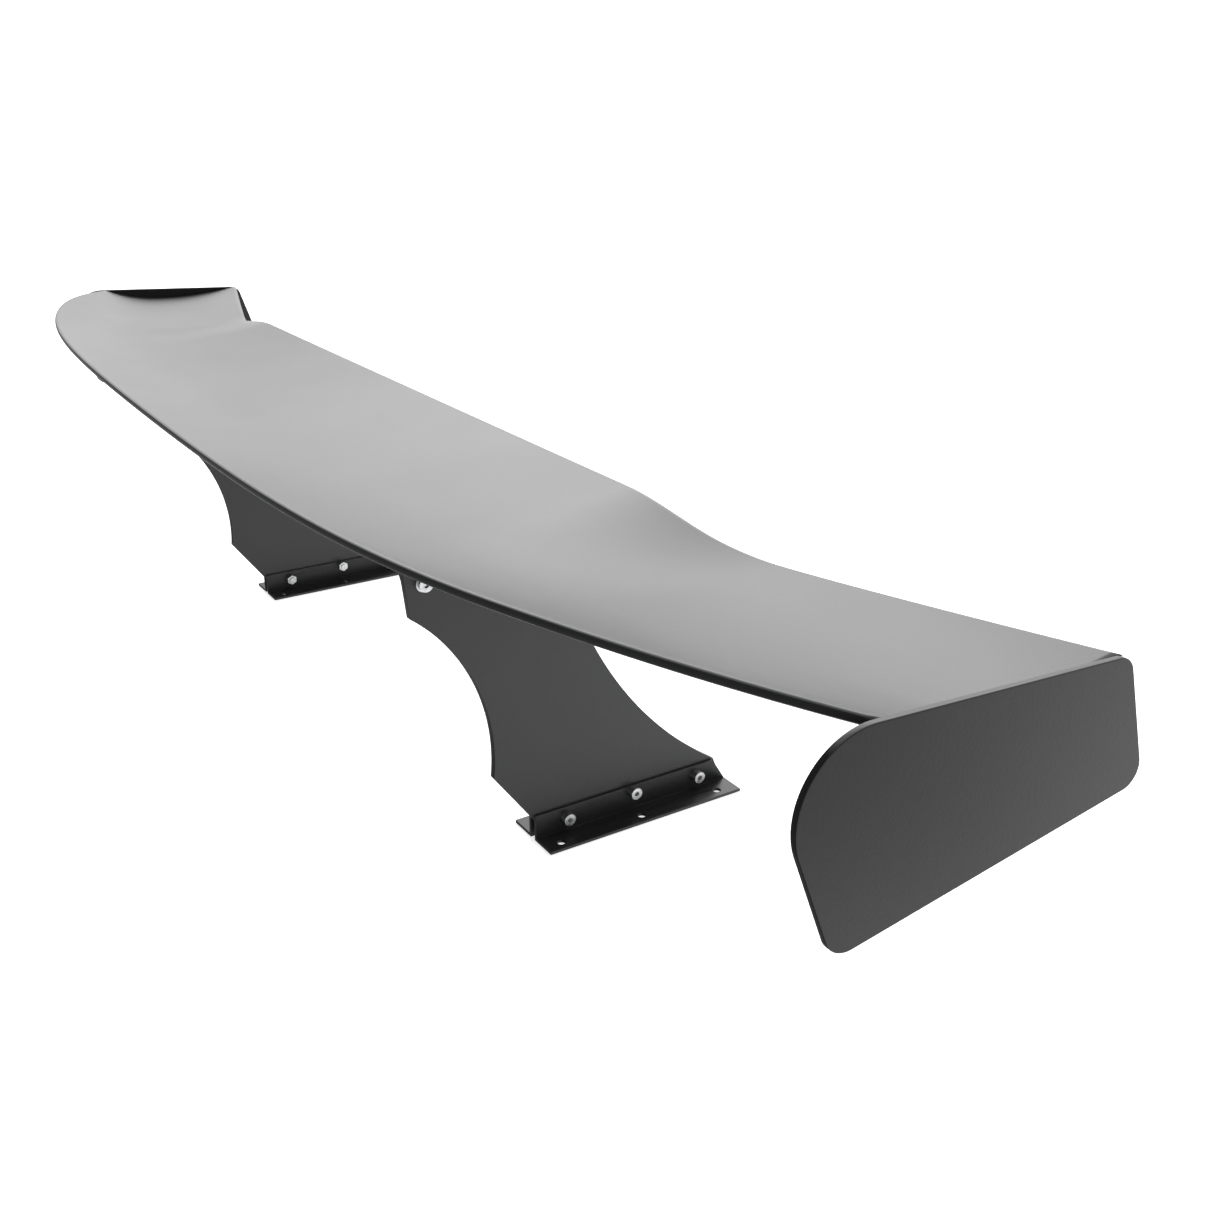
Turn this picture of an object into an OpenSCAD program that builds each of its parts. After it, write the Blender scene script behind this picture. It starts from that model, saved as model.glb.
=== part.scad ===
// Racing rear wing: a hollow aluminium blade with end plates, carried on two swept stands.
// The blade turns on two pivot bolts, and two bolts in curved slots set its angle.
// X runs along the span, +Y points the way the car drives, Z is up.
// The origin is the middle of the base holes, on the plane of the boot lid.

/* [Blade] */
// Length of the blade between the end plates
blade_span = 1440; // [1200:10:1600]
// Rearmost line of the blade at its middle, measured from the origin
rear_edge_y = -267; // [-320:1:-240]
// Height of the rear edge at the middle of the blade
rear_edge_z = 298; // [290:1:340]
// How far the rear edge sweeps forward at the tips
rear_sweep = 133; // [60:1:150]
// How far the rear edge rises outside the middle
rear_rise = 5; // [0:0.5:15]
// How far the rear edge falls again at the tips
rear_drop = 12.5; // [0:0.5:20]
// Front line of the blade at its middle, measured from the origin
front_edge_y = -39.5; // [-60:0.5:-20]
// Height of the front edge at the middle of the blade
front_edge_z = 291; // [280:1:330]
// How far the front edge sweeps forward at the tips
front_sweep = 72; // [30:1:90]
// How far the front edge steps down outside the middle
front_step = 15.5; // [0:0.5:25]
// How far the front edge rises again at the tips
front_tip_rise = 5; // [0:0.5:12]
// Depth of the hollow top surface, as a share of the chord
camber_ratio = 0.067; // [0.02:0.001:0.1]
// Radius of the rounded rear edge
rear_edge_r = 2.8; // [2.4:0.1:5]
// Radius of the rounded front edge
front_edge_r = 4; // [3:0.1:7]
// Extra thickness of the blade at mid chord
blade_bulge = 5; // [3:0.5:12]
// Thickness of the sheet that both skins are made of
skin = 1.5; // [1:0.1:2]

/* [Stands] */
// Distance between the middles of the two stand plates
stand_spacing = 624; // [500:2:760]
// Thickness of a stand plate
plate = 6; // [4:0.5:10]
// Height of the stand plate's top edge
stand_top_z = 264; // [258:0.5:267]
// Height at which the rear curve of the stand ends
rear_curve_top_z = 209; // [190:1:225]
// Height at which the rear curve of the stand starts
rear_curve_foot_z = 65; // [50:1:90]
// Radius of the rear curve
rear_curve_r = 158.5; // [120:0.5:190]
// Radius of the front curve
front_curve_r = 352; // [280:1:420]

/* [Base angles] */
// Length of a base angle
angle_length = 183.5; // [170:0.5:220]
// Width of the leg that lies on the boot lid
angle_foot = 25.5; // [22:0.5:40]
// Height of the leg that stands against the plate
angle_wall = 22.5; // [22.5:0.5:40]
// Thickness of both legs
angle_t = 2.5; // [2:0.25:5]
// Radius of the base holes
base_hole_r = 3.3; // [2.2:0.1:4.5]
// Distance between neighbouring base holes
base_hole_pitch = 75.5; // [60:0.5:80]
// Distance between neighbouring cross bolts
cross_bolt_pitch = 63; // [50:0.5:70]

/* [Angle setting] */
// Distance from the pivot bolt to the setting bolt
setting_radius = 86; // [75:0.5:92]
// Angle that the blade can be raised by
setting_range = 12; // [4:0.5:13]
// Nominal thread of the pivot, setting and cross bolts
bolt_d = 6; // [5:0.5:6]
// Thickness of the hanging web of a blade lug
lug_web = 5; // [3:0.5:8]
// Width of a lug's flange under the blade
lug_flange = 29; // [24:0.5:40]

/* [End plates] */
// Thickness of an end plate
end_plate = 4; // [3:0.5:6]
// Radius of the large rear top corner
end_corner_r = 43; // [25:1:46]

/* [Hidden] */
$fn = 48;

half_span = blade_span / 2;
fit_gap = 0.25;      // between a skin and what is fastened to it
slide_gap = 0.3;     // between faces that turn past each other
run_clear = 0.05;    // around the pivot bolt in its lug
bolt_clear = 0.3;    // around a bolt in a drilled plate
eps = 0.01;

// Blade outline: where the two edges run along the span
sweep_power = 4;
rear_crest_x = 0.73 * half_span;
knee_x = 0.64 * half_span;
knee_blend = 0.13;
step_start_x = 0.505 * half_span;
step_end_x = 0.715 * half_span;
camber_at = 0.38;
stations = 48;
run_steps = 12;
cap_steps = 3;

// Blade lugs, ribs and screws
lug_flange_t = 3;
lug_boss_r = 12;
lug_from = 0.31;
lug_to = 0.86;
lug_screws_at = [0.4, 0.58, 0.76];
tip_angle_w = 26;
tip_angle_t = 2.5;
tip_angle_drop = 22;
tip_from = 0.2;
tip_to = 0.84;
tip_screws_at = [0.3, 0.52, 0.74];
screw_d = 5;
screw_head_r = 4.75;
screw_head_h = 2.75;
screw_length = 9;
screw_key = 3;
spot_depth = 0.8;
spot_r = 5.5;

// Stand plate
plate_mid_x = stand_spacing / 2;
plate_in_x = plate_mid_x - plate / 2;
plate_out_x = plate_mid_x + plate / 2;
plate_foot_z = 2;
rear_foot_y = -123.5;
rear_curve_top_y = -184;
rear_lean = 0.105;
slant = 0.72;
front_top_y = -69.5;
front_foot_y = 83.7;
front_foot_z = 22.5;
front_tail_y = 91.5;
pivot = [-87, 243];
setting_low = -setting_range / 2;
setting_high = setting_range / 2;

// Base angles
hole_offset = 17;
rear_overhang = 14.25;
angle_rear_y = -base_hole_pitch - rear_overhang;
angle_front_y = angle_rear_y + angle_length;
angle_chamfer = 12.5;
cross_mid_y = 1;
cross_z = 13.5;
cross_mid_z = 17.5;

// Hardware
washer_r = 6.25;
washer_t = 1.6;
button_r = 5.25;
button_h = 3.3;
cap_r = 5;
cap_h = 6;
nut_af = 10;
nut_h = 6;
hex_key = 4;
thread_over = 1;

lug_out_x = plate_in_x - slide_gap;
lug_in_x = lug_out_x - lug_web;
lug_edge_x = lug_out_x - lug_flange;

// End plate corners, measured from the two ends of the blade's tip
tip_rear = [rear_y(half_span), rear_z(half_span)];
tip_front = [front_y(half_span), front_z(half_span)];
end_corners = [
  [tip_rear + [-70, 7], end_corner_r],
  [tip_rear + [-21.5, -119], 16],
  [tip_front + [31.5, -77], 13],
  [tip_front + [6, 3.5], 13]
];
fillet_steps = 12;

// Small functions
function smooth(t) = let (c = min(max(t, 0), 1)) c * c * (3 - 2 * c);
function ramp(t) = (t + sqrt(t * t + knee_blend * knee_blend)) / 2;
function unit(v) = v / norm(v);
function turned(a) = [cos(a), sin(a)];
function reversed(v) = [for (i = [len(v) - 1:-1:0]) v[i]];

// Edges of the blade at distance x from the middle
function rear_y(x) = rear_edge_y + rear_sweep * pow(abs(x) / half_span, sweep_power);
function rear_z(x) =
  rear_edge_z + rear_rise * smooth(abs(x) / rear_crest_x)
  - rear_drop * pow(max(0, abs(x) - rear_crest_x) / (half_span - rear_crest_x), 2);
function front_y(x) =
  front_edge_y + front_sweep * ramp((abs(x) - knee_x) / (half_span - knee_x));
function front_z(x) =
  front_edge_z - front_step * smooth((abs(x) - step_start_x) / (step_end_x - step_start_x))
  + front_tip_rise * pow(max(0, abs(x) - step_end_x) / (half_span - step_end_x), 1.5);

// Section of the blade: u runs from the rear edge (0) to the front edge (1)
function chord(x) = front_y(x) - rear_y(x);
function camber(u) =
  u < camber_at
    ? (2 * camber_at * u - u * u) / pow(camber_at, 2)
    : (1 - 2 * camber_at + 2 * camber_at * u - u * u) / pow(1 - camber_at, 2);
function half_t(u) = rear_edge_r + (front_edge_r - rear_edge_r) * u + 2 * blade_bulge * u * (1 - u);
function middle(x, u) = [
  rear_y(x) + u * chord(x),
  rear_z(x) + u * (front_z(x) - rear_z(x))
    - camber_ratio * chord(x) * camber(u) - 2 * blade_bulge * u * (1 - u)
];
function along(x, u) = unit(middle(x, u + eps) - middle(x, u - eps));
function heading(x, u) = let (d = along(x, u)) atan2(d[1], d[0]);
function skin_point(x, u, side, inset) =
  middle(x, u) + side * (half_t(u) - inset) * turned(heading(x, u) + 90);
function band(x, from, to, side, inset) =
  [for (j = [0:run_steps]) skin_point(x, from + (to - from) * j / run_steps, side, inset)];

// Half of the section's outline, from the rearmost to the foremost point
function half_ring(x, side, inset) = concat(
  [for (i = [0:cap_steps - 1])
    middle(x, 0) + (rear_edge_r - inset) * turned(heading(x, 0) + 180 - side * 90 * i / cap_steps)],
  band(x, 0, 1, side, inset),
  [for (i = [1:cap_steps])
    middle(x, 1) + (front_edge_r - inset) * turned(heading(x, 1) + side * (90 - 90 * i / cap_steps))]
);
function skin_ring(x, side) = concat(half_ring(x, side, 0), reversed(half_ring(x, side, skin)));
function core_ring(x, from, to) = concat(
  band(x, from, to, 1, skin + fit_gap),
  reversed(band(x, from, to, -1, skin + fit_gap))
);
function under_ring(x, from, to, thick) = concat(
  band(x, from, to, -1, -fit_gap),
  reversed(band(x, from, to, -1, -fit_gap - thick))
);
function spread(from, to, steps) = [for (i = [0:steps]) from + (to - from) * i / steps];

// Arc points that round one corner of an outline
function fillet(before, corner, after, r) =
  let (
    a = unit(before - corner),
    b = unit(after - corner),
    half = acos(a * b) / 2,
    centre = corner + unit(a + b) * r / sin(half),
    from = corner + a * r / tan(half) - centre,
    to = corner + b * r / tan(half) - centre,
    start = atan2(from[1], from[0]),
    turn = atan2(from[0] * to[1] - from[1] * to[0], from * to)
  )
  [for (i = [0:fillet_steps]) centre + r * turned(start + turn * i / fillet_steps)];
function rounded(corners) =
  let (n = len(corners))
  [for (i = [0:n - 1])
    each fillet(corners[(i + n - 1) % n][0], corners[i][0], corners[(i + 1) % n][0], corners[i][1])];

// Centre of a circle of radius r through p and q, to the left of the way from p to q
function arc_centre(p, q, r) =
  let (d = q - p, reach = sqrt(r * r - d * d / 4))
  (p + q) / 2 + reach * unit([-d[1], d[0]]);

// A closed body through rings of equally many points, one ring at each x.
// The first half of each ring faces the second half, point by point.
module loft(xs, rings) {
  n = len(rings[0]);
  last = len(xs) - 1;
  points = [for (i = [0:last]) for (p = rings[i]) [xs[i], p[0], p[1]]];
  sides = [
    for (i = [0:last - 1]) for (j = [0:n - 1])
      let (k = (j + 1) % n, a = i * n + j, b = i * n + k)
      each [[a, b, a + n], [b, b + n, a + n]]
  ];
  first_cap = [for (j = [0:n / 2 - 2]) [n - 1 - j, n - 2 - j, j + 1, j]];
  last_cap = [for (j = [0:n / 2 - 2]) [j, j + 1, n - 2 - j, n - 1 - j] + last * n * [1, 1, 1, 1]];
  polyhedron(points = points, faces = concat(sides, first_cap, last_cap));
}

// A flat (y, z) outline made solid from one x to another
module slab(from_x, to_x) {
  translate([from_x, 0, 0])
    rotate([90, 0, 90])
      linear_extrude(to_x - from_x) children();
}

module on_side(side) {
  if (side > 0) children();
  else mirror([1, 0, 0]) children();
}

module rod_x(from_x, to_x, at, r) {
  translate([from_x, at[0], at[1]])
    rotate([0, 90, 0])
      cylinder(h = to_x - from_x, r = r);
}

module hex_x(from_x, to_x, at, af) {
  translate([from_x, at[0], at[1]])
    rotate([0, 90, 0])
      cylinder(h = to_x - from_x, d = af / cos(30), $fn = 6);
}

// Blade
module upper_skin() {
  xs = spread(-half_span, half_span, stations);
  color("#24262a") loft(xs, [for (x = xs) skin_ring(x, 1)]);
}

module lower_skin() {
  xs = spread(-half_span, half_span, stations);
  color("#1c1e21")
    difference() {
      loft(xs, [for (x = xs) reversed(skin_ring(x, -1))]);
      for (side = [-1, 1]) {
        for (u = lug_screws_at) screw_hole(side * lug_screw_x(), u);
        for (u = tip_screws_at) screw_hole(side * tip_screw_x(), u);
      }
    }
}

// The spars follow the skins from station to station and stop short of the tip ribs
function spar_stations() =
  [for (x = spread(-half_span, half_span, stations)) if (abs(x) < half_span - tip_angle_w) x];

module front_spar() {
  xs = spar_stations();
  color("#8d9094") loft(xs, [for (x = xs) core_ring(x, 0.89, 0.97)]);
}

module rear_spar() {
  xs = spar_stations();
  color("#8d9094") loft(xs, [for (x = xs) core_ring(x, 0.05, 0.13)]);
}

module mount_rib() {
  xs = spread(lug_edge_x, lug_out_x, 2);
  color("#8d9094")
    difference() {
      loft(xs, [for (x = xs) core_ring(x, lug_from, lug_to)]);
      for (u = lug_screws_at) screw_hole(lug_screw_x(), u);
    }
}

module tip_rib() {
  xs = spread(half_span - tip_angle_w, half_span - fit_gap, 2);
  color("#8d9094")
    difference() {
      loft(xs, [for (x = xs) core_ring(x, tip_from, tip_to)]);
      for (u = tip_screws_at) screw_hole(tip_screw_x(), u);
    }
}

// Screws that come up through a flange and the lower skin into a rib
function lug_screw_x() = (lug_edge_x + lug_in_x) / 2;
function tip_screw_x() = half_span - tip_angle_w / 2 - tip_angle_t / 2;
function screw_seat(x, u, thick) =
  [x, skin_point(x, u, -1, 0)[0], skin_point(x, u, -1, -fit_gap - thick)[1] + spot_depth];

module screw_hole(x, u) {
  p = skin_point(x, u, -1, 0);
  translate([x, p[0], p[1] - screw_length])
    cylinder(h = 2 * screw_length + 2 * half_t(u), r = screw_d / 2 + run_clear);
}

module screw_seat_cut(x, u, thick) {
  translate(screw_seat(x, u, thick) - [0, 0, screw_length])
    cylinder(h = screw_length, r = spot_r);
}

module button_screw(x, u, thick) {
  translate(screw_seat(x, u, thick))
    difference() {
      union() {
        translate([0, 0, -screw_head_h]) cylinder(h = screw_head_h, r = screw_head_r);
        translate([0, 0, -eps]) cylinder(h = screw_length + eps, r = screw_d / 2);
      }
      translate([0, 0, -screw_head_h - eps])
        cylinder(h = screw_head_h * 0.7, d = screw_key / cos(30), $fn = 6);
    }
}

// Lugs under the blade, inboard of the stand plates
function turned_about_pivot(a) = pivot - setting_radius * turned(a);
setting = turned_about_pivot(-setting_low);

module lug() {
  web_x = (lug_in_x + lug_out_x) / 2;
  flange_x = (lug_edge_x + lug_out_x) / 2;
  down = unit([setting[1] - pivot[1], pivot[0] - setting[0]]);
  drop = down[1] < 0 ? down : -down;
  color("#202225")
    difference() {
      union() {
        slab(lug_in_x, lug_out_x)
          difference() {
            union() {
              polygon(concat(
                band(web_x, lug_from, lug_to, -1, -fit_gap),
                [pivot + [lug_boss_r, 0], pivot + lug_boss_r * drop,
                 setting + lug_boss_r * drop, setting - [lug_boss_r, 0]]
              ));
              translate(pivot) circle(lug_boss_r);
              translate(setting) circle(lug_boss_r);
            }
            translate(pivot) circle(bolt_d / 2 + run_clear);
            translate(setting) circle(bolt_d / 2 + run_clear);
          }
        slab(lug_edge_x, lug_in_x + eps)
          polygon(under_ring(flange_x, lug_from, lug_to, lug_flange_t));
      }
      for (u = lug_screws_at) {
        screw_hole(lug_screw_x(), u);
        screw_seat_cut(lug_screw_x(), u, lug_flange_t);
      }
    }
}

module lug_screws() {
  color("#b9bcc0")
    for (u = lug_screws_at) button_screw(lug_screw_x(), u, lug_flange_t);
}

// End plates, their angles and screws
module end_plate_side() {
  color("#2a2c30")
    slab(half_span, half_span + end_plate) polygon(rounded(end_corners));
}

module end_angle() {
  wall_x = half_span - tip_angle_t;
  xs = spread(half_span - tip_angle_w, half_span, 2);
  top = band(wall_x + tip_angle_t / 2, tip_from + 0.01, tip_to - 0.01, -1, -fit_gap - tip_angle_t / 2);
  foot = min([for (p = top) p[1]]) - tip_angle_drop;
  color("#202225")
    difference() {
      union() {
        loft(xs, [for (x = xs) under_ring(x, tip_from, tip_to, tip_angle_t)]);
        slab(wall_x, half_span)
          polygon(concat(top, [[top[run_steps][0], foot], [top[0][0], foot]]));
      }
      for (u = tip_screws_at) {
        screw_hole(tip_screw_x(), u);
        screw_seat_cut(tip_screw_x(), u, tip_angle_t);
      }
    }
}

module end_screws() {
  color("#b9bcc0")
    for (u = tip_screws_at) button_screw(tip_screw_x(), u, tip_angle_t);
}

// Stand plates
module setting_slot() {
  half_w = bolt_d / 2 + bolt_clear;
  outer = setting_radius + half_w;
  far = 2 * outer;
  translate(pivot)
    intersection() {
      difference() {
        circle(outer);
        circle(setting_radius - half_w);
      }
      polygon([[0, 0], far * turned(180 + setting_low), far * turned(180 + setting_high)]);
    }
  for (a = [setting_low, setting_high])
    translate(turned_about_pivot(a)) circle(half_w);
}

module stand() {
  rear_foot = [rear_foot_y, rear_curve_foot_z];
  rear_top = [rear_curve_top_y, rear_curve_top_z];
  front_top = [front_top_y, stand_top_z];
  front_foot = [front_foot_y, front_foot_z];
  color("#25272a")
    slab(plate_in_x, plate_out_x)
      difference() {
        polygon([
          rear_foot + slant * (rear_curve_foot_z - plate_foot_z) * [1, 0] - [0, rear_curve_foot_z - plate_foot_z],
          rear_foot,
          rear_top,
          rear_top + (stand_top_z - rear_curve_top_z) * [-rear_lean, 1],
          front_top,
          front_foot,
          [front_tail_y, plate_foot_z]
        ]);
        translate(arc_centre(rear_foot, rear_top, rear_curve_r)) circle(rear_curve_r, $fn = 180);
        translate(arc_centre(front_top, front_foot, front_curve_r)) circle(front_curve_r, $fn = 180);
        translate(pivot) circle(bolt_d / 2 + run_clear);
        setting_slot();
        for (p = cross_points()) translate(p) circle(bolt_d / 2 + bolt_clear);
      }
}

// Base angles: outer is the side away from the car's middle
function cross_points() = [
  [cross_mid_y - cross_bolt_pitch, cross_z],
  [cross_mid_y, cross_mid_z],
  [cross_mid_y + cross_bolt_pitch, cross_z]
];

module base_angle() {
  difference() {
    union() {
      translate([0, angle_rear_y, 0]) cube([angle_foot, angle_length, angle_t]);
      slab(0, angle_t)
        polygon([
          [angle_rear_y, 0],
          [angle_rear_y, angle_wall],
          [angle_front_y - angle_chamfer, angle_wall],
          [angle_front_y, angle_t],
          [angle_front_y, 0]
        ]);
    }
    for (k = [-1:1])
      translate([hole_offset, k * base_hole_pitch, -angle_t])
        cylinder(h = 3 * angle_t, r = base_hole_r);
    for (p = cross_points()) rod_x(-angle_t, 2 * angle_t, p, bolt_d / 2 + bolt_clear);
  }
}

module base_angle_outer() {
  color("#17181a") translate([plate_out_x, 0, 0]) base_angle();
}

module base_angle_inner() {
  color("#17181a") translate([plate_in_x, 0, 0]) mirror([1, 0, 0]) base_angle();
}

// Bolts, nuts and washers: heads face outboard, nuts inboard
module socket_bolt(head_x, end_x, at, head_r, head_h) {
  difference() {
    union() {
      rod_x(head_x, head_x + head_h, at, head_r);
      rod_x(end_x, head_x + eps, at, bolt_d / 2);
    }
    hex_x(head_x + head_h / 2, head_x + head_h + eps, at, hex_key);
  }
}

module nut(from_x, at) {
  difference() {
    hex_x(from_x, from_x + nut_h, at, nut_af);
    rod_x(from_x - eps, from_x + nut_h + eps, at, bolt_d / 2 + run_clear);
  }
}

module washer(from_x, at) {
  difference() {
    rod_x(from_x, from_x + washer_t, at, washer_r);
    rod_x(from_x - eps, from_x + washer_t + eps, at, bolt_d / 2 + bolt_clear);
  }
}

cross_nut_x = plate_in_x - angle_t - nut_h;

module cross_bolts() {
  color("#c9ccd0")
    for (p = cross_points())
      socket_bolt(plate_out_x + angle_t, cross_nut_x - thread_over, p, cap_r, cap_h);
}

module cross_nuts() {
  color("#c9ccd0")
    for (p = cross_points()) nut(cross_nut_x, p);
}

pivot_head_x = plate_out_x + washer_t;
pivot_washer_x = lug_in_x - slide_gap - washer_t;
setting_head_x = plate_out_x + slide_gap + washer_t;
setting_washer_x = lug_in_x - washer_t;

module pivot_bolt() {
  color("#c9ccd0")
    socket_bolt(pivot_head_x, pivot_washer_x - nut_h - thread_over, pivot, button_r, button_h);
}

module pivot_washers() {
  color("#d5d8db") {
    washer(plate_out_x, pivot);
    washer(pivot_washer_x, pivot);
  }
}

module pivot_nut() {
  color("#c9ccd0") nut(pivot_washer_x - nut_h, pivot);
}

module setting_bolt() {
  color("#c9ccd0")
    socket_bolt(setting_head_x, setting_washer_x - nut_h - thread_over, setting, button_r, button_h);
}

module setting_washers() {
  color("#d5d8db") {
    washer(plate_out_x + slide_gap, setting);
    washer(setting_washer_x, setting);
  }
}

module setting_nut() {
  color("#c9ccd0") nut(setting_washer_x - nut_h, setting);
}

upper_skin();
lower_skin();
front_spar();
rear_spar();
on_side(-1) mount_rib();  // mount_rib_left
on_side(1) mount_rib();  // mount_rib_right
on_side(-1) tip_rib();  // tip_rib_left
on_side(1) tip_rib();  // tip_rib_right
on_side(-1) lug();  // lug_left
on_side(1) lug();  // lug_right
on_side(-1) lug_screws();  // lug_screws_left
on_side(1) lug_screws();  // lug_screws_right
on_side(-1) end_plate_side();  // end_plate_left
on_side(1) end_plate_side();  // end_plate_right
on_side(-1) end_angle();  // end_angle_left
on_side(1) end_angle();  // end_angle_right
on_side(-1) end_screws();  // end_screws_left
on_side(1) end_screws();  // end_screws_right
on_side(-1) stand();  // stand_left
on_side(1) stand();  // stand_right
on_side(-1) base_angle_outer();  // base_angle_left_outer
on_side(-1) base_angle_inner();  // base_angle_left_inner
on_side(1) base_angle_outer();  // base_angle_right_outer
on_side(1) base_angle_inner();  // base_angle_right_inner
on_side(-1) cross_bolts();  // cross_bolts_left
on_side(1) cross_bolts();  // cross_bolts_right
on_side(-1) cross_nuts();  // cross_nuts_left
on_side(1) cross_nuts();  // cross_nuts_right
on_side(-1) pivot_bolt();  // pivot_bolt_left
on_side(1) pivot_bolt();  // pivot_bolt_right
on_side(-1) pivot_washers();  // pivot_washers_left
on_side(1) pivot_washers();  // pivot_washers_right
on_side(-1) pivot_nut();  // pivot_nut_left
on_side(1) pivot_nut();  // pivot_nut_right
on_side(-1) setting_bolt();  // setting_bolt_left
on_side(1) setting_bolt();  // setting_bolt_right
on_side(-1) setting_washers();  // setting_washers_left
on_side(1) setting_washers();  // setting_washers_right
on_side(-1) setting_nut();  // setting_nut_left
on_side(1) setting_nut();  // setting_nut_right
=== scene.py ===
"""Satin black rear wing: one hollow blade with end plates, on two swept stands with angle feet."""

import bmesh
import bpy
import numpy as np
from mathutils import Euler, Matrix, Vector
from mathutils.geometry import tessellate_polygon


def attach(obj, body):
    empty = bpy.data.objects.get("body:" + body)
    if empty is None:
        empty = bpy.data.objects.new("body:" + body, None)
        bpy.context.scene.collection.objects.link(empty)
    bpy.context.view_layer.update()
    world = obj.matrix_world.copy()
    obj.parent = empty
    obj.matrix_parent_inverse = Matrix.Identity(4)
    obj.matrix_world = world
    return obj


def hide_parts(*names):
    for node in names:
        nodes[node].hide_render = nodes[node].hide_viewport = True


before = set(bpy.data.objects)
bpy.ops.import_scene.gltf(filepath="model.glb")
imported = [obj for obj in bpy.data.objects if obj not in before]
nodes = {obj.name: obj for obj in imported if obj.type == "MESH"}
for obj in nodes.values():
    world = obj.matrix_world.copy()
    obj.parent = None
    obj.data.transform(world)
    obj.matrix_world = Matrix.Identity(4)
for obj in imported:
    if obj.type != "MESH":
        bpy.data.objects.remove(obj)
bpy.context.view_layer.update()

# ---------------------------------------------------------------- camera
# Eye height a little above the blade, off the right end of the wing and
# behind the car, looking forward and inward over the blade.
camera_data = bpy.data.cameras.new("camera")
camera_data.sensor_width = 36.0
camera_data.lens = 39.63
camera_data.clip_start = 0.01
camera = bpy.data.objects.new("camera", camera_data)
camera.location = (1.1091, -0.5257, 0.5667)
camera.rotation_euler = Euler((np.radians(67.82), 0.0, np.radians(57.64)))
bpy.context.scene.collection.objects.link(camera)
bpy.context.scene.camera = camera

# ---------------------------------------------------------------- floor
# A wide studio table of matt white acrylic that glows with painted light, so that the wing throws almost no
# shadow on it.


def table_sheet(radius, rise):
    """Flat round sheet: rings of (r, angle) whose rim turns up by rise, so it has no sharp end."""
    rings, spokes, flat_share = 61, 96, 0.6
    r = radius * np.linspace(0.01, 1, rings)[:, None] ** 1.6
    angle = np.linspace(0, 2 * np.pi, spokes, endpoint=False)[None, :]
    lift = rise * (np.clip(r / radius - flat_share, 0, None) / (1 - flat_share)) ** 2
    points = np.stack([r * np.cos(angle), r * np.sin(angle), lift + 0 * angle - 0.0005], -1)
    i, j = np.meshgrid(np.arange(rings - 1), np.arange(spokes), indexing="ij")
    near, far, k = i * spokes, (i + 1) * spokes, (j + 1) % spokes
    faces = np.stack([near + j, far + j, far + k, near + k], -1)
    faces = faces.reshape(-1, 4).tolist() + [list(range(spokes))]
    mesh = bpy.data.meshes.new("table")
    mesh.from_pydata(points.reshape(-1, 3).tolist(), [], faces)
    mesh.polygons.foreach_set("use_smooth", [True] * len(faces))
    return bpy.data.objects.new("table", mesh)


def glowing_acrylic():
    """Matt white acrylic with a very faint mottle and a painted glow. The glow fades out past the corner
    nearest the open side, as painted shade for the end plates to reflect.
    """
    material = bpy.data.materials.new("glowing_acrylic")
    material.use_nodes = True
    tree = material.node_tree
    shader = tree.nodes["Principled BSDF"]
    place = tree.nodes.new("ShaderNodeTexCoord")
    mottle = tree.nodes.new("ShaderNodeTexNoise")
    mottle.inputs["Scale"].default_value = 60.0
    mottle.inputs["Detail"].default_value = 4.0
    tint = tree.nodes.new("ShaderNodeValToRGB")
    tint.color_ramp.elements[0].color = (0.90, 0.90, 0.90, 1)
    tint.color_ramp.elements[1].color = (0.93, 0.93, 0.93, 1)
    tree.links.new(place.outputs["Object"], mottle.inputs["Vector"])
    tree.links.new(mottle.outputs["Fac"], tint.inputs["Fac"])
    tree.links.new(tint.outputs["Color"], shader.inputs["Base Color"])
    shader.inputs["Roughness"].default_value = 0.9
    shader.inputs["Specular IOR Level"].default_value = 0.1
    shader.inputs["Emission Color"].default_value = (1, 1, 1, 1)

    def fade(direction, start, end):
        along = tree.nodes.new("ShaderNodeVectorMath")
        along.operation = "DOT_PRODUCT"
        along.inputs[1].default_value = direction
        ease = tree.nodes.new("ShaderNodeMapRange")
        ease.interpolation_type = "SMOOTHSTEP"
        ease.inputs["From Min"].default_value = start
        ease.inputs["From Max"].default_value = end
        tree.links.new(place.outputs["Object"], along.inputs[0])
        tree.links.new(along.outputs["Value"], ease.inputs["Value"])
        return ease.outputs["Result"]

    # Painted glow: the sheet emits light though it is no lamp, and the glow goes to nothing in the far corner
    # as painted shade.
    both = tree.nodes.new("ShaderNodeMath")
    both.operation = "MULTIPLY"
    tree.links.new(fade((0.82, 0.57, 0), 0.74, 0.92), both.inputs[0])
    tree.links.new(fade((0.8, -0.6, 0), 0.5, 0.75), both.inputs[1])
    glow = tree.nodes.new("ShaderNodeMapRange")
    glow.inputs["To Min"].default_value = 0.62
    glow.inputs["To Max"].default_value = 0.0
    tree.links.new(both.outputs[0], glow.inputs["Value"])
    tree.links.new(glow.outputs["Result"], shader.inputs["Emission Strength"])
    return material


table = table_sheet(30.0, 2.5)
table.data.materials.append(glowing_acrylic())
bpy.context.scene.collection.objects.link(table)

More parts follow.
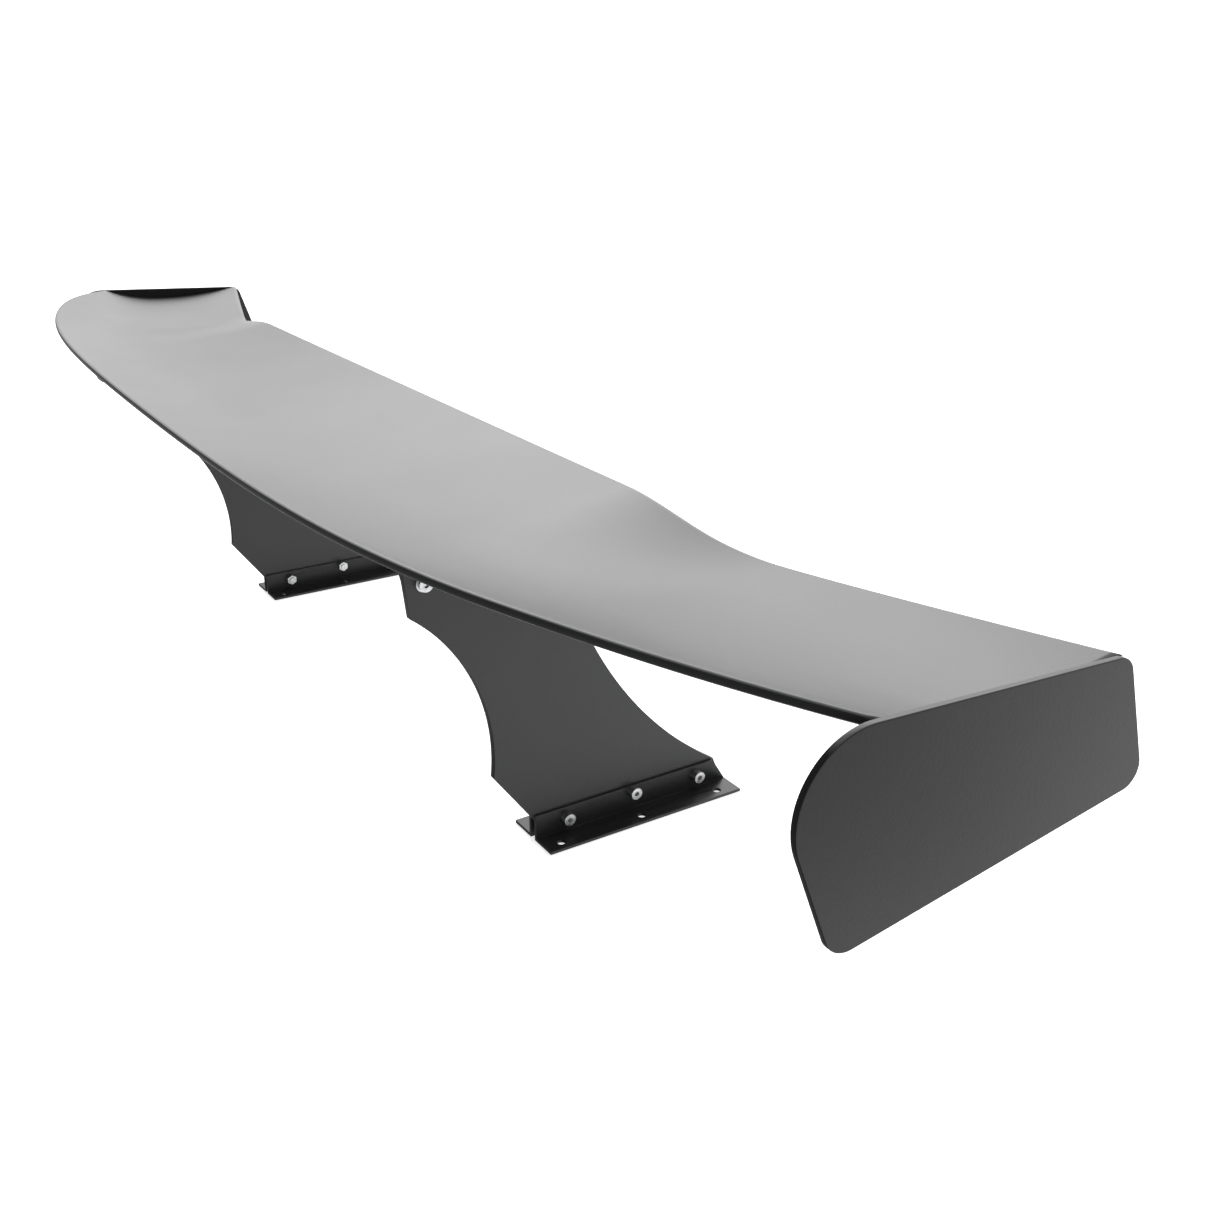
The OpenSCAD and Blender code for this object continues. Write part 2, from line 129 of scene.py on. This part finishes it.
# ---------------------------------------------------------------- light
# A white studio that is brightest behind and above the wing and falls off
# towards the open side of the room, with one soft bank high behind it.
world = bpy.data.worlds.new("studio")
world.use_nodes = True
room = world.node_tree
toward = room.nodes.new("ShaderNodeTexCoord")
facing = room.nodes.new("ShaderNodeVectorMath")
facing.operation = "DOT_PRODUCT"
facing.inputs[1].default_value = (-0.78, 0.52, 0.35)
fall = room.nodes.new("ShaderNodeMapRange")
fall.interpolation_type = "SMOOTHSTEP"
fall.inputs["From Min"].default_value = -0.35
fall.inputs["From Max"].default_value = 0.6
fall.inputs["To Min"].default_value = 0.42
fall.inputs["To Max"].default_value = 1.75
room.links.new(toward.outputs["Generated"], facing.inputs[0])
room.links.new(facing.outputs["Value"], fall.inputs["Value"])
room.links.new(fall.outputs["Result"], room.nodes["Background"].inputs["Strength"])
room.nodes["Background"].inputs["Color"].default_value = (1, 1, 1, 1)
bpy.context.scene.world = world
bpy.context.scene.view_settings.view_transform = "Standard"
bpy.context.scene.view_settings.look = "None"


def light_bank(name, place, aim, width, height, watts):
    """A rectangular soft light that faces the point aim."""
    data = bpy.data.lights.new(name, "AREA")
    data.shape = "RECTANGLE"
    data.size = width
    data.size_y = height
    data.energy = watts
    bank = bpy.data.objects.new(name, data)
    bank.location = place
    away = Vector(place) - Vector(aim)
    bank.rotation_euler = away.to_track_quat("Z", "Y").to_euler()
    bpy.context.scene.collection.objects.link(bank)
    return bank


light_bank("back_bank", (-2.6, 2.2, 2.9), (0.3, -0.1, 0.3), 4.0, 2.4, 85.0)

# ---------------------------------------------------------------- blade
# The blade is formed from two thin aluminium sheets, welded and dressed
# along both edges and powder coated satin black. Its plan is a crescent,
# its top is hollow, and the middle panel sits flatter than the outer ones.


half_span = 720.0
rear_crest_x = 0.73 * half_span
knee_x = 0.64 * half_span
knee_blend = 0.13
step_start_x = 0.505 * half_span
step_end_x = 0.715 * half_span


def smooth_step(t):
    """0 below t = 0, 1 above t = 1, and an even S between them."""
    t = np.clip(t, 0, 1)
    return t * t * (3 - 2 * t)


def blade_edges(x):
    """Rear and front edge of the blade, (y, z) each in mm, at distance x from the middle.

    The rear edge sweeps forward with the fourth power of x. The front edge
    is straight up to the knee, then sweeps forward and steps down.
    """
    x = np.abs(x)
    rear_y = -267 + 133 * (x / half_span) ** 4
    past_crest = np.clip(x - rear_crest_x, 0, None) / (half_span - rear_crest_x)
    rear_z = 298 + 5 * smooth_step(x / rear_crest_x) - 12.5 * past_crest**2
    t = (x - knee_x) / (half_span - knee_x)
    front_y = -39.5 + 72 * (t + np.sqrt(t * t + knee_blend**2)) / 2
    past_step = np.clip(x - step_end_x, 0, None) / (half_span - step_end_x)
    front_z = 291 - 15.5 * smooth_step((x - step_start_x) / (step_end_x - step_start_x))
    front_z = front_z + 5 * past_step**1.5
    return rear_y, rear_z, front_y, front_z


def blade_surface(across, around, turn):
    """Closed skin: station x by section angle.

    Section at x: a camber line of two parabolas that meet at u = 0.38, with
    u = 0 at the rear edge. The half thickness h(u) = 2.78 + 1.2 u + 10 u (1 - u)
    is laid off along its normal on both sides, with a half round of radius
    h(0) or h(1) around each edge.
    """
    deepest = 0.38
    x = np.linspace(-half_span, half_span, across)[:, None]
    rear_y, rear_z, front_y, front_z = blade_edges(x)
    long = front_y - rear_y

    def middle(u):
        camber = np.where(
            u < deepest,
            (2 * deepest * u - u * u) / deepest**2,
            (1 - 2 * deepest + 2 * deepest * u - u * u) / (1 - deepest) ** 2,
        )
        sink = 0.067 * long * camber + 10 * u * (1 - u)
        return rear_y + u * long, rear_z + u * (front_z - rear_z) - sink

    def offset(u, side_angle):
        y0, z0 = middle(u - 1e-4)
        y1, z1 = middle(u + 1e-4)
        way = np.arctan2(z1 - z0, y1 - y0) + side_angle
        y, z = middle(u)
        h = 2.78 + 1.2 * u + 10 * u * (1 - u)
        return y + h * np.cos(way), z + h * np.sin(way)

    u_top = (1 - np.cos(np.linspace(0, np.pi, around)))[None, :] / 2
    back = np.linspace(1.5 * np.pi, 0.5 * np.pi, turn)[None, 1:-1]
    nose = np.linspace(0.5 * np.pi, -0.5 * np.pi, turn)[None, 1:-1]
    parts = [
        offset(np.zeros_like(back), back),
        offset(u_top, np.pi / 2),
        offset(np.ones_like(nose), nose),
        offset(u_top[:, ::-1], -np.pi / 2),
    ]
    y = np.concatenate([p[0] for p in parts], 1)
    z = np.concatenate([p[1] for p in parts], 1)
    points = np.stack([np.broadcast_to(x, y.shape), y, z], -1) / 1000
    n = y.shape[1]
    i, j = np.meshgrid(np.arange(across - 1), np.arange(n), indexing="ij")
    k = (j + 1) % n
    quads = np.stack([i * n + j, i * n + n + j, i * n + n + k, i * n + k], -1)
    faces = quads.reshape(-1, 4).tolist()
    faces.append(list(range(n)))
    faces.append(list(range(across * n - 1, (across - 1) * n - 1, -1)))
    mesh = bpy.data.meshes.new("blade")
    mesh.from_pydata(points.reshape(-1, 3).tolist(), [], faces)
    mesh.polygons.foreach_set("use_smooth", [True] * (len(faces) - 2) + [False] * 2)
    mesh.update()
    return mesh


def powder_coat(name, dark, light, rough, shine, orange_peel, edge_highlight):
    """Satin black powder coat: fine orange peel, cloudy gloss, a painted highlight of lighter grey on sharp
    edges, and painted shade that takes the reflection off faces turned to the rear.
    """
    material = bpy.data.materials.new(name)
    material.use_nodes = True
    tree = material.node_tree
    shader = tree.nodes["Principled BSDF"]
    place = tree.nodes.new("ShaderNodeTexCoord")

    cloud = tree.nodes.new("ShaderNodeTexNoise")
    cloud.inputs["Scale"].default_value = 7.0
    cloud.inputs["Detail"].default_value = 5.0
    cloud.inputs["Roughness"].default_value = 0.6
    tree.links.new(place.outputs["Object"], cloud.inputs["Vector"])

    speck = tree.nodes.new("ShaderNodeTexNoise")
    speck.inputs["Scale"].default_value = 900.0
    speck.inputs["Detail"].default_value = 2.0
    tree.links.new(place.outputs["Object"], speck.inputs["Vector"])

    tone = tree.nodes.new("ShaderNodeValToRGB")
    tone.color_ramp.elements[0].position = 0.3
    tone.color_ramp.elements[0].color = (*dark, 1)
    tone.color_ramp.elements[1].position = 0.75
    tone.color_ramp.elements[1].color = (*light, 1)
    blend = tree.nodes.new("ShaderNodeMath")
    blend.operation = "MULTIPLY_ADD"
    blend.inputs[1].default_value = 0.35
    tree.links.new(speck.outputs["Fac"], blend.inputs[0])
    share = tree.nodes.new("ShaderNodeMath")
    share.operation = "MULTIPLY"
    share.inputs[1].default_value = 0.65
    tree.links.new(cloud.outputs["Fac"], share.inputs[0])
    tree.links.new(share.outputs[0], blend.inputs[2])
    tree.links.new(blend.outputs[0], tone.inputs["Fac"])

    # Painted highlight: sharp edges, found by pointiness, are mixed towards a lighter grey.
    shape = tree.nodes.new("ShaderNodeNewGeometry")
    edge = tree.nodes.new("ShaderNodeValToRGB")
    edge.color_ramp.elements[0].position = 0.53
    edge.color_ramp.elements[0].color = (0, 0, 0, 1)
    edge.color_ramp.elements[1].position = 0.66
    edge.color_ramp.elements[1].color = (edge_highlight, edge_highlight, edge_highlight, 1)
    tree.links.new(shape.outputs["Pointiness"], edge.inputs["Fac"])
    edge_highlighted = tree.nodes.new("ShaderNodeMix")
    edge_highlighted.data_type = "RGBA"
    edge_highlighted.inputs["B"].default_value = (0.16, 0.16, 0.165, 1)
    tree.links.new(edge.outputs["Color"], edge_highlighted.inputs["Factor"])
    tree.links.new(tone.outputs["Color"], edge_highlighted.inputs["A"])
    tree.links.new(edge_highlighted.outputs["Result"], shader.inputs["Base Color"])

    # Painted shade: faces turned to the rear lose almost all their reflection, so they read as a dark band.
    rearward = tree.nodes.new("ShaderNodeVectorMath")
    rearward.operation = "DOT_PRODUCT"
    rearward.inputs[1].default_value = (0, -1, 0)
    tree.links.new(shape.outputs["Normal"], rearward.inputs[0])
    rear_face_shade = tree.nodes.new("ShaderNodeMapRange")
    rear_face_shade.inputs["From Min"].default_value = 0.44
    rear_face_shade.inputs["From Max"].default_value = 0.62
    rear_face_shade.inputs["To Min"].default_value = shine
    rear_face_shade.inputs["To Max"].default_value = shine * 0.02
    tree.links.new(rearward.outputs["Value"], rear_face_shade.inputs["Value"])
    tree.links.new(rear_face_shade.outputs["Result"], shader.inputs["Specular IOR Level"])

    gloss = tree.nodes.new("ShaderNodeMapRange")
    gloss.inputs["From Min"].default_value = 0.3
    gloss.inputs["From Max"].default_value = 0.7
    gloss.inputs["To Min"].default_value = rough - 0.012
    gloss.inputs["To Max"].default_value = rough + 0.018
    tree.links.new(cloud.outputs["Fac"], gloss.inputs["Value"])
    tree.links.new(gloss.outputs["Result"], shader.inputs["Roughness"])

    peel = tree.nodes.new("ShaderNodeTexNoise")
    peel.inputs["Scale"].default_value = 420.0
    peel.inputs["Detail"].default_value = 3.0
    tree.links.new(place.outputs["Object"], peel.inputs["Vector"])
    bump = tree.nodes.new("ShaderNodeBump")
    bump.inputs["Strength"].default_value = orange_peel
    bump.inputs["Distance"].default_value = 0.0004
    tree.links.new(peel.outputs["Fac"], bump.inputs["Height"])
    tree.links.new(bump.outputs["Normal"], shader.inputs["Normal"])
    return material


def make_outward(mesh):
    """Turns every face of a closed mesh so that its normal points out."""
    work = bmesh.new()
    work.from_mesh(mesh)
    bmesh.ops.recalc_face_normals(work, faces=work.faces)
    work.to_mesh(mesh)
    work.free()
    mesh.update()


blade = bpy.data.objects.new("blade", blade_surface(289, 61, 17))
make_outward(blade.data)
blade.data.materials.append(
    powder_coat("blade_coat", (0.012, 0.0122, 0.0126), (0.019, 0.0194, 0.02), 0.34, 0.52, 0.12, 0.03)
)
bpy.context.scene.collection.objects.link(blade)
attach(blade, "wing")
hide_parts("upper_skin", "lower_skin")

# ---------------------------------------------------------------- end plates
# Each end plate is 4 mm sheet cut to a blunt wedge, its large corner to
# the rear, with the sharp edges broken before it is coated.


def paint(piece, material):
    """Gives a piece one finish all over."""
    piece.data.materials.clear()
    piece.data.materials.append(material)
    for spot in piece.material_slots:
        spot.material = material


def corner_run(before, corner, after, radius, steps):
    """Points of the circle that rounds one corner of a flat outline."""
    corner = np.array(corner, float)
    a = np.array(before, float) - corner
    b = np.array(after, float) - corner
    a /= np.hypot(*a)
    b /= np.hypot(*b)
    half = np.arccos(a @ b) / 2
    out = a + b
    centre = corner + out / np.hypot(*out) * radius / np.sin(half)
    start = corner + a * radius / np.tan(half) - centre
    end = corner + b * radius / np.tan(half) - centre
    first = np.arctan2(start[1], start[0])
    turn = np.arctan2(start[0] * end[1] - start[1] * end[0], start @ end)
    spread = first + turn * np.linspace(0, 1, steps)
    return centre + radius * np.stack([np.cos(spread), np.sin(spread)], 1)


def cut_plate(name, loops, low, high, side, arris):
    """Flat plate between x = low and high (mm), cut along closed (y, z) loops.

    Each loop is swept through an edge profile of (x, inset) pairs: a quarter
    circle of radius arris on both sides, then a short flat land that keeps
    the round shading off the face. The first loop is the outline, the rest
    are holes.
    """
    land = arris + 0.6
    quarter = np.linspace(0, np.pi / 2, 6)
    across, inset = arris * (1 - np.sin(quarter)), arris * (1 - np.cos(quarter))
    profile_x = np.concatenate([[low], low + across[::-1], high - across, [high]])
    profile_in = np.concatenate([[land], inset[::-1], inset, [land]])
    rows = len(profile_x)
    points, faces, rims, first = [], [], [], 0
    for number, loop in enumerate(loops):
        loop = np.array(loop, float)
        after = np.roll(loop, -1, 0)
        area = np.sum(loop[:, 0] * after[:, 1] - after[:, 0] * loop[:, 1])
        if (area > 0) != (number == 0):
            loop = loop[::-1]
            after = np.roll(loop, -1, 0)
        way = after - loop
        way /= np.hypot(way[:, 0], way[:, 1])[:, None]
        left = np.stack([-way[:, 1], way[:, 0]], 1)
        before = np.roll(left, 1, 0)
        inward = (left + before) / (1 + np.sum(left * before, 1))[:, None]
        m = len(loop)
        ring = loop[None] + profile_in[:, None, None] * inward[None]
        x = np.broadcast_to(profile_x[:, None, None], (rows, m, 1))
        points.append(np.concatenate([x, ring], 2).reshape(-1, 3))
        i, j = np.meshgrid(np.arange(rows - 1), np.arange(m), indexing="ij")
        a, k = first + i * m, (j + 1) % m
        faces += np.stack([a + j, a + k, a + m + k, a + m + j], -1).reshape(-1, 4).tolist()
        rims.append((first + np.arange(m), loop + land * inward))
        first += rows * m
    flat = [[Vector((y, z, 0)) for y, z in rim] for _, rim in rims]
    caps = np.array(tessellate_polygon(flat))
    near = np.concatenate([index for index, _ in rims])
    far = np.concatenate([index + (rows - 1) * len(index) for index, _ in rims])
    faces += near[caps].tolist() + far[caps].tolist()
    points = np.concatenate(points) * [side, 1, 1] / 1000
    mesh = bpy.data.meshes.new(name)
    mesh.from_pydata(points.tolist(), [], faces)
    mesh.polygons.foreach_set("use_smooth", [True] * len(faces))
    mesh.update()
    make_outward(mesh)
    return bpy.data.objects.new(name, mesh)


def end_plate_outline():
    """Rounded wedge, its corners placed from the two ends of the blade's tip."""
    rear_y, rear_z, front_y, front_z = (float(v) for v in blade_edges(np.array(half_span)))
    corners = [
        ((rear_y - 70, rear_z + 7), 43),
        ((rear_y - 21.5, rear_z - 119), 16),
        ((front_y + 31.5, front_z - 77), 13),
        ((front_y + 6, front_z + 3.5), 13),
    ]
    runs = []
    for i, (corner, radius) in enumerate(corners):
        before, after = corners[i - 1][0], corners[(i + 1) % 4][0]
        runs.append(corner_run(before, corner, after, radius, 33))
    return np.concatenate(runs)


end_plate_coat = powder_coat(
    "end_plate_coat", (0.007, 0.0072, 0.0075), (0.012, 0.0122, 0.0126), 0.3, 0.25, 0.15, 0.1
)
tip_face, plate_face = half_span, half_span + 4
for side, word in ((-1, "left"), (1, "right")):
    plate = cut_plate("end_plate_" + word + "_cut", [end_plate_outline()], tip_face, plate_face, side, 0.5)
    paint(plate, end_plate_coat)
    bpy.context.scene.collection.objects.link(plate)
    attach(plate, "wing")
    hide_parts("end_plate_" + word)

# ---------------------------------------------------------------- stands
# The two stand plates are 6 mm aluminium, cut with a deep round bay at
# the rear and a long sweep in front, slotted for the setting bolt.
stand_coat = powder_coat(
    "stand_coat", (0.012, 0.0122, 0.0126), (0.019, 0.0194, 0.02), 0.42, 0.42, 0.2, 0.12
)


def round_hole(y, z, radius):
    """Points of a drilled hole's circle."""
    a = np.linspace(0, 2 * np.pi, 40, endpoint=False)
    return np.stack([y + radius * np.cos(a), z + radius * np.sin(a)], 1)


def arc_between(start, end, radius, steps):
    """Points from start to end on the circle whose centre lies left of that way."""
    start, end = np.array(start, float), np.array(end, float)
    d = end - start
    reach = np.sqrt(radius * radius - d @ d / 4)
    centre = (start + end) / 2 + reach * np.array([-d[1], d[0]]) / np.hypot(*d)
    a = np.arctan2(*(start - centre)[::-1])
    b = np.arctan2(*(end - centre)[::-1])
    turn = (b - a + np.pi) % (2 * np.pi) - np.pi
    angle = a + turn * np.linspace(0, 1, steps)
    return centre + radius * np.stack([np.cos(angle), np.sin(angle)], 1)


def stand_loops():
    """Outline with its two curves, the pivot and cross bolt holes, and the setting slot."""
    foot_z, top_z = 2.0, 264.0
    bay_foot, bay_top = np.array([-123.5, 65.0]), np.array([-184.0, 209.0])
    rear_foot = [bay_foot[0] + 0.72 * (bay_foot[1] - foot_z), foot_z]
    rear_top = [bay_top[0] - 0.105 * (top_z - bay_top[1]), top_z]
    outline = np.concatenate(
        [
            [rear_foot],
            arc_between(bay_foot, bay_top, 158.5, 49),
            [rear_top],
            arc_between((-69.5, top_z), (83.7, 22.5), 352, 49),
            [[91.5, foot_z]],
        ]
    )
    pivot = np.array([-87.0, 243.0])
    reach, half_width = 86.0, 3.3
    low, high = np.radians(174), np.radians(186)
    sweep = np.linspace(low, high, 13)
    cap = np.linspace(0, np.pi, 13)[1:-1]

    def ray(a):
        return np.stack([np.cos(a), np.sin(a)], -1)

    slot = np.concatenate(
        [
            pivot + (reach + half_width) * ray(sweep),
            pivot + reach * ray(high) + half_width * ray(high + cap),
            pivot + (reach - half_width) * ray(sweep[::-1]),
            pivot + reach * ray(low) + half_width * ray(low + np.pi + cap),
        ]
    )
    cross_holes = [round_hole(y, z, 3.3) for y, z in ((-62, 13.5), (1, 17.5), (64, 13.5))]
    return [outline, round_hole(*pivot, 3.05), slot] + cross_holes


for side, word in ((-1, "left"), (1, "right")):
    stand = cut_plate("stand_" + word + "_cut", stand_loops(), 309, 315, side, 0.4)
    paint(stand, stand_coat)
    bpy.context.scene.collection.objects.link(stand)
    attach(stand, "stands")
    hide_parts("stand_" + word)

# ---------------------------------------------------------------- base angles
# Folded from 2.5 mm sheet, drilled for the lid screws and cross bolts,
# and coated a shade darker and glossier than the plates.


def soft_edges(piece, width, segments, angle):
    """Breaks the sharp edges of a drilled or cut metal piece."""
    weld = piece.modifiers.new("join_corners", "WELD")
    weld.merge_threshold = 2e-6
    bevel = piece.modifiers.new("broken_edges", "BEVEL")
    bevel.width = width
    bevel.segments = segments
    bevel.limit_method = "ANGLE"
    bevel.angle_limit = np.radians(angle)
    bevel.use_clamp_overlap = True
    even = piece.modifiers.new("even_shading", "WEIGHTED_NORMAL")
    even.keep_sharp = False
    even.weight = 80


angle_coat = powder_coat("angle_coat", (0.010, 0.010, 0.0105), (0.017, 0.017, 0.0173), 0.34, 0.3, 0.15, 0.3)
for word in ("left", "right"):
    for place in ("outer", "inner"):
        angle = nodes["base_angle_" + word + "_" + place]
        paint(angle, angle_coat)
        soft_edges(angle, 0.0003, 2, 40)

# ---------------------------------------------------------------- lugs and end angles
# Small coated brackets under the blade: a lug inboard of each stand,
# and an angle that carries each end plate.
lug_coat = powder_coat("lug_coat", (0.014, 0.0143, 0.015), (0.022, 0.0225, 0.023), 0.42, 0.3, 0.2, 0.6)
for word in ("left", "right"):
    for part in ("lug_", "end_angle_"):
        paint(nodes[part + word], lug_coat)
        soft_edges(nodes[part + word], 0.0003, 2, 40)

# ---------------------------------------------------------------- spars and ribs
# Mill finish aluminium bars closed up inside the blade, with the fine
# lines of the extrusion die along them.


def mill_finish():
    """Bare drawn aluminium: long fine die lines and a soft uneven sheen."""
    material = bpy.data.materials.new("mill_aluminium")
    material.use_nodes = True
    tree = material.node_tree
    shader = tree.nodes["Principled BSDF"]
    shader.inputs["Metallic"].default_value = 1.0
    place = tree.nodes.new("ShaderNodeTexCoord")
    stretch = tree.nodes.new("ShaderNodeMapping")
    stretch.inputs["Scale"].default_value = (4.0, 900.0, 900.0)
    lines = tree.nodes.new("ShaderNodeTexNoise")
    lines.inputs["Scale"].default_value = 1.0
    lines.inputs["Detail"].default_value = 3.0
    tree.links.new(place.outputs["Object"], stretch.inputs["Vector"])
    tree.links.new(stretch.outputs["Vector"], lines.inputs["Vector"])
    tone = tree.nodes.new("ShaderNodeValToRGB")
    tone.color_ramp.elements[0].color = (0.5, 0.51, 0.53, 1)
    tone.color_ramp.elements[1].color = (0.68, 0.69, 0.7, 1)
    tree.links.new(lines.outputs["Fac"], tone.inputs["Fac"])
    tree.links.new(tone.outputs["Color"], shader.inputs["Base Color"])
    gloss = tree.nodes.new("ShaderNodeMapRange")
    gloss.inputs["To Min"].default_value = 0.3
    gloss.inputs["To Max"].default_value = 0.45
    tree.links.new(lines.outputs["Fac"], gloss.inputs["Value"])
    tree.links.new(gloss.outputs["Result"], shader.inputs["Roughness"])
    return material


mill_aluminium = mill_finish()
for name in ("front_spar", "rear_spar", "mount_rib_left", "mount_rib_right", "tip_rib_left", "tip_rib_right"):
    paint(nodes[name], mill_aluminium)

# ---------------------------------------------------------------- bolts, nuts and washers
# Bright plated steel M6 hardware on the stands, and black oxide button
# screws under the blade. Each head is turned, so its marks run round it.


def turned_steel(name, dark, light, rough):
    """Plated or blackened turned steel: fine turning marks, patchy plating and small handling dulls."""
    material = bpy.data.materials.new(name)
    material.use_nodes = True
    tree = material.node_tree
    shader = tree.nodes["Principled BSDF"]
    shader.inputs["Metallic"].default_value = 1.0
    place = tree.nodes.new("ShaderNodeTexCoord")
    patch = tree.nodes.new("ShaderNodeTexNoise")
    patch.inputs["Scale"].default_value = 260.0
    patch.inputs["Detail"].default_value = 4.0
    tree.links.new(place.outputs["Object"], patch.inputs["Vector"])
    tone = tree.nodes.new("ShaderNodeValToRGB")
    tone.color_ramp.elements[0].position = 0.3
    tone.color_ramp.elements[0].color = (*dark, 1)
    tone.color_ramp.elements[1].position = 0.65
    tone.color_ramp.elements[1].color = (*light, 1)
    tree.links.new(patch.outputs["Fac"], tone.inputs["Fac"])
    tree.links.new(tone.outputs["Color"], shader.inputs["Base Color"])
    gloss = tree.nodes.new("ShaderNodeMapRange")
    gloss.inputs["From Min"].default_value = 0.3
    gloss.inputs["From Max"].default_value = 0.7
    gloss.inputs["To Min"].default_value = rough
    gloss.inputs["To Max"].default_value = rough + 0.14
    tree.links.new(patch.outputs["Fac"], gloss.inputs["Value"])
    tree.links.new(gloss.outputs["Result"], shader.inputs["Roughness"])
    marks = tree.nodes.new("ShaderNodeTexNoise")
    marks.inputs["Scale"].default_value = 2400.0
    marks.inputs["Detail"].default_value = 2.0
    tree.links.new(place.outputs["Object"], marks.inputs["Vector"])
    bump = tree.nodes.new("ShaderNodeBump")
    bump.inputs["Strength"].default_value = 0.1
    bump.inputs["Distance"].default_value = 0.0001
    tree.links.new(marks.outputs["Fac"], bump.inputs["Height"])
    tree.links.new(bump.outputs["Normal"], shader.inputs["Normal"])
    return material


bright_steel = turned_steel("bright_steel", (0.33, 0.335, 0.34), (0.6, 0.605, 0.61), 0.24)
zinc_plate = turned_steel("zinc_plate", (0.4, 0.41, 0.42), (0.66, 0.665, 0.67), 0.24)
black_oxide = turned_steel("black_oxide", (0.02, 0.02, 0.022), (0.06, 0.06, 0.063), 0.3)
for word in ("left", "right"):
    for part in ("cross_bolts_", "cross_nuts_", "pivot_bolt_", "pivot_nut_", "setting_bolt_", "setting_nut_"):
        paint(nodes[part + word], bright_steel)
        soft_edges(nodes[part + word], 0.0004, 3, 40)
    for part in ("pivot_washers_", "setting_washers_"):
        paint(nodes[part + word], zinc_plate)
        soft_edges(nodes[part + word], 0.0002, 2, 40)
    for part in ("lug_screws_", "end_screws_"):
        paint(nodes[part + word], black_oxide)
        soft_edges(nodes[part + word], 0.0003, 2, 40)
